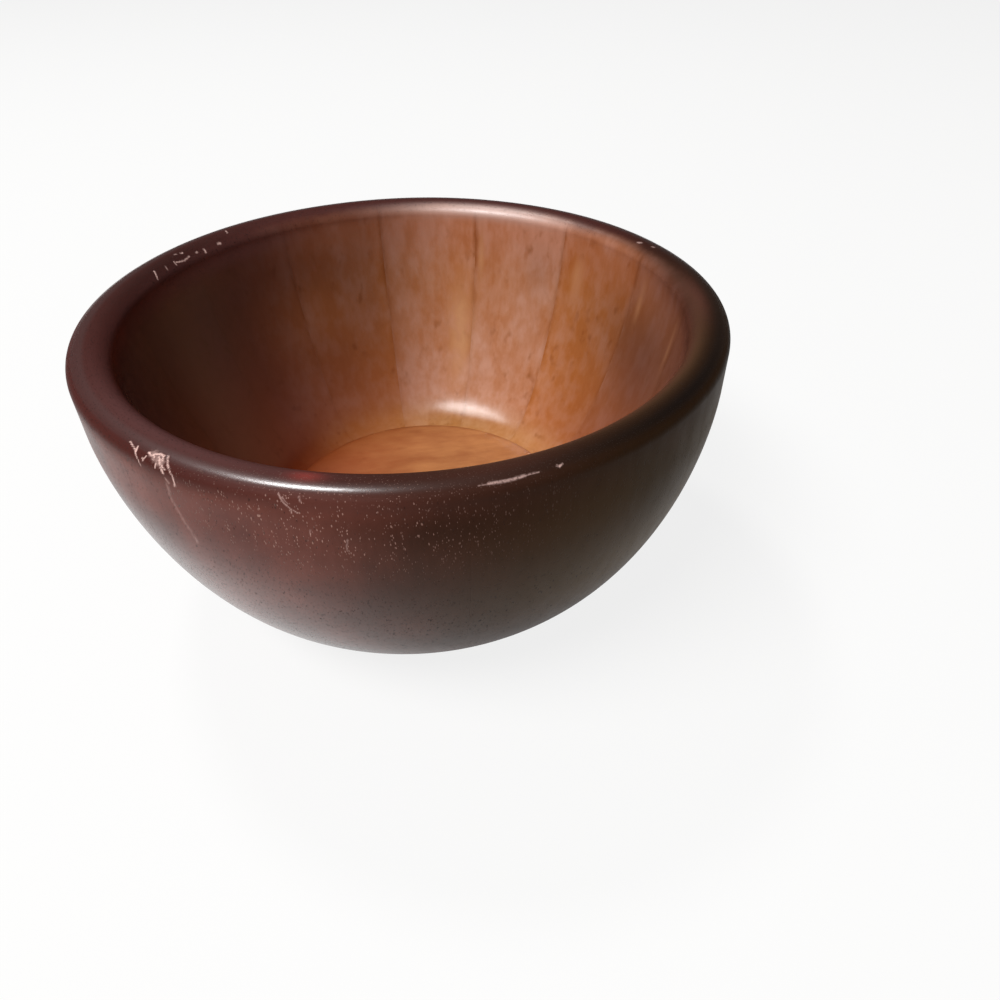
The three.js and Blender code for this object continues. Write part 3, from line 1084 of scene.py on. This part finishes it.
def stave_finish():
    """Stained wood under three lacquers, mixed by the place: over the lip, and where the far lip's
    highlight is painted.
    """
    finish = Finish(bpy.data.materials.new("stained_stave"))
    wood = stave_wood(finish)
    stained = finish.mix(wood.inside, stain_outside(finish, wood), stain_inside(finish, wood))
    worn, colour = worn_colour(finish, wood, stained)
    height = MOTTLE_HEIGHT * wood.mottle - PORE_DEPTH * wood.fine_pore
    height = height + FIBRE_HEIGHT * wood.fibre * (1 - wood.inside)
    common = {"Base Color": colour, "Normal": finish.relief(height), "Coat Roughness": COAT_ROUGHNESS}
    rough = ROUGHER_BY_MOTTLE * swing(wood.mottle) + ROUGHER_WORN * worn
    over = finish.ramp(wood.from_crown, *OVER_LIP)
    below = finish.ramp(wood.from_crown, *BELOW_LIP)
    polished = finish.node("ShaderNodeBsdfPrincipled", {}, {
        **common, "Specular IOR Level": POLISHED_SPECULAR, "Coat IOR": POLISHED_COAT_IOR,
        "Roughness": POLISHED_ROUGHNESS + ROUGHER_BELOW * below + rough,
        "Coat Weight": gloss_inside(finish, wood, over, below, worn)})
    handled = finish.node("ShaderNodeBsdfPrincipled", {}, {
        **common, "Specular IOR Level": HANDLED_SPECULAR, "Roughness": HANDLED_ROUGHNESS + rough})
    satin = finish.node("ShaderNodeBsdfPrincipled", {}, {
        **common, "Specular IOR Level": SATIN_SPECULAR, "Roughness": SATIN_ROUGHNESS + rough,
        "Coat Weight": haze_outside(finish, wood)})
    upper = finish.node("ShaderNodeMixShader", {}, {0: wood.rub, 1: polished, 2: handled})
    return finish.close(finish.node("ShaderNodeMixShader", {}, {0: over, 1: satin, 2: upper}))


stave_material = stave_finish()
print(len(stave_material.node_tree.nodes), "nodes in the stave finish")

# %% [markdown]
# No two boards take stain alike, so each stave has a hue of its own. A material for each would work too,
# but one that reads the hue from the mesh stays easy to change.

# %% Dress the staves
# How orange rather than rose each stave is inside, from nothing to one.
HUES = {
    "stave_02": 0.9, "stave_03": 0.8, "stave_11": 0.8, "stave_12": 0.85, "stave_13": 0.84,
    "stave_14": 0.36}
PLAIN_HUE = 0.5

for name, piece in staves.items():
    note_on(piece, "hue", np.full(len(piece.data.vertices), HUES.get(name, PLAIN_HUE)))
    piece.data.materials.append(stave_material)
    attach(piece, "root")
    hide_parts(name)
print(len(staves), "staves dressed")

# %% [markdown]
# The floor disc takes the same stain, rubbed thin. Its grain lies level, across the bowl, because a disc is
# sawn from a flat board. The staves' finish could serve, but most of its notes mean nothing on a floor.

# %% The finish of the floor disc
FLOOR_LIGHT = paint("bc7e49")
FLOOR_DARK = paint("93532a")
# Red brown for the painted shade on the disc's left.
FLOOR_RED_SHADE = paint("96451d")
FLOOR_PATCHES = (0.35, 0.35, 0.15, 0.15)
FLOOR_GLUE, FLOOR_FLECKS = 0.5, 0.6
FLOOR_SPECULAR, FLOOR_ROUGHNESS, FLOOR_COAT = 0.3, 0.45, 0.3


def floor_finish():
    """Rubbed stain on level grain, redder and darker in a painted shade on its left, and brown along its
    glue line.
    """
    finish = Finish(bpy.data.materials.new("stained_floor_disc"))
    wood = wood_grain(finish, finish.note("board", "Vector"))
    colour = finish.mix(patchy(wood, *FLOOR_PATCHES), FLOOR_DARK, FLOOR_LIGHT)
    colour = finish.mix(finish.note("tone"), FLOOR_RED_SHADE, colour)
    glue = finish.ramp(finish.note("seam"), GLUE_STAIN_WIDTH, 0.0)
    colour = finish.mix(FLOOR_GLUE * glue + FLOOR_FLECKS * wood.fleck, colour, GLUE_SHADE, "MULTIPLY")
    inputs = {"Base Color": colour, "Roughness": FLOOR_ROUGHNESS + ROUGHER_BY_MOTTLE * swing(wood.mottle),
              "Normal": finish.relief(MOTTLE_HEIGHT * wood.mottle), "Specular IOR Level": FLOOR_SPECULAR,
              "Coat Weight": FLOOR_COAT, "Coat Roughness": COAT_ROUGHNESS}
    return finish.close(finish.node("ShaderNodeBsdfPrincipled", {}, inputs))


floor_disc.data.materials.append(floor_finish())
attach(floor_disc, "root")
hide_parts("base_disc")
print("floor disc finished")

# %% [markdown]
# ## Studio
#
# The bowl stands on a plain white table. A shadow catcher would leave the background empty. A real table,
# which the camera and mirrored rays see mixed with white, still takes the bowl's shadow.

# %% Table
TABLE_SIZE = 6.0
TABLE_DROP = 0.05 * MM
TABLE_COLOUR = paint("f0efec")
TABLE_WHITE = 0.84


def table_piece():
    """A level square at the height of the foot, lowered by a hair."""
    corners = np.array([(-1, -1, 0), (1, -1, 0), (1, 1, 0), (-1, 1, 0)]) * TABLE_SIZE / 2
    return new_piece("table", corners - [0, 0, TABLE_DROP], [[0, 1, 2, 3]])


def table_finish():
    """A pale matt top. The camera and mirrored rays see it mixed with white, so its shadows are faint."""
    finish = Finish(bpy.data.materials.new("white_table"))
    rays = "ShaderNodeLightPath"
    seen = finish.node(rays, output="Is Camera Ray") + finish.node(rays, output="Is Glossy Ray")
    seen = seen + finish.node(rays, output="Is Transmission Ray")
    matt = finish.node("ShaderNodeBsdfDiffuse", {}, {"Color": TABLE_COLOUR})
    white = finish.node("ShaderNodeEmission", {}, {"Strength": 1.0})
    return finish.close(finish.node("ShaderNodeMixShader", {}, {0: TABLE_WHITE * seen, 1: matt, 2: white}))


table = table_piece()
table.data.materials.append(table_finish())
print(f"table {TABLE_SIZE} m square")

# %% [markdown]
# One large soft lamp, high on the left, shows the turned form: a bright far wall, a dark near one and a
# thin highlight along the lip. A small one picks out the back. A sun lamp would cut hard shadows, and an
# oval area lamp also gives the lacquer a soft shape to mirror.

# %% Lamps
LAMP_AIM = np.array([0, 0, 40 * MM])
# Each lamp is its direction from the bowl, its distance, width and height in metres, and its level.
LAMPS = {
    "window": ((-0.45, -0.32, 0.83), 1.4, 0.9, 0.5, 0.9),
    "ceiling_lamp": ((-0.25, 0.43, 0.87), 1.4, 0.24, 0.24, 0.3),
}


def add_lamp(name, direction, distance, width, height, level):
    """An oval lamp that faces the bowl.

    Its level is the light that it throws on a card held square to it, where one makes a white card white.
    Power is level times the square of pi times the distance.
    """
    lamp = bpy.data.objects.new(name, bpy.data.lights.new(name, "AREA"))
    bpy.context.scene.collection.objects.link(lamp)
    way = np.array(direction) / np.linalg.norm(direction)
    lamp.data.shape = "ELLIPSE"
    lamp.data.size = width
    lamp.data.size_y = height
    lamp.data.energy = level * (math.pi * distance) ** 2
    lamp.location = (LAMP_AIM + distance * way).tolist()
    lamp.rotation_euler = (math.acos(way[2]), 0, math.atan2(way[1], way[0]) + math.pi / 2)
    print(f"{name} of {lamp.data.energy:.1f} W at", tuple(round(value, 2) for value in lamp.location), "m")


for name, lamp in LAMPS.items():
    add_lamp(name, *lamp)

# %% [markdown]
# A little even light from all round keeps the shadows open. It could come from a picture of a room, but a
# plain world is enough here, and the camera sees it as white behind the table's far edge.

# %% Surrounding light
SURROUND = 0.08
WHITE = (1.0, 1.0, 1.0, 1.0)


def surround():
    """Even light from all round, which the camera itself sees as white."""
    sky = Finish(bpy.data.worlds.new("surround"))
    seen = sky.node("ShaderNodeLightPath", output="Is Camera Ray")
    light = sky.node("ShaderNodeBackground", {}, {"Color": WHITE, "Strength": at_least(SURROUND, seen)})
    return sky.close(light, "ShaderNodeOutputWorld")


bpy.context.scene.world = surround()
bpy.context.scene.view_settings.view_transform = "Standard"
print("surrounding light", SURROUND)
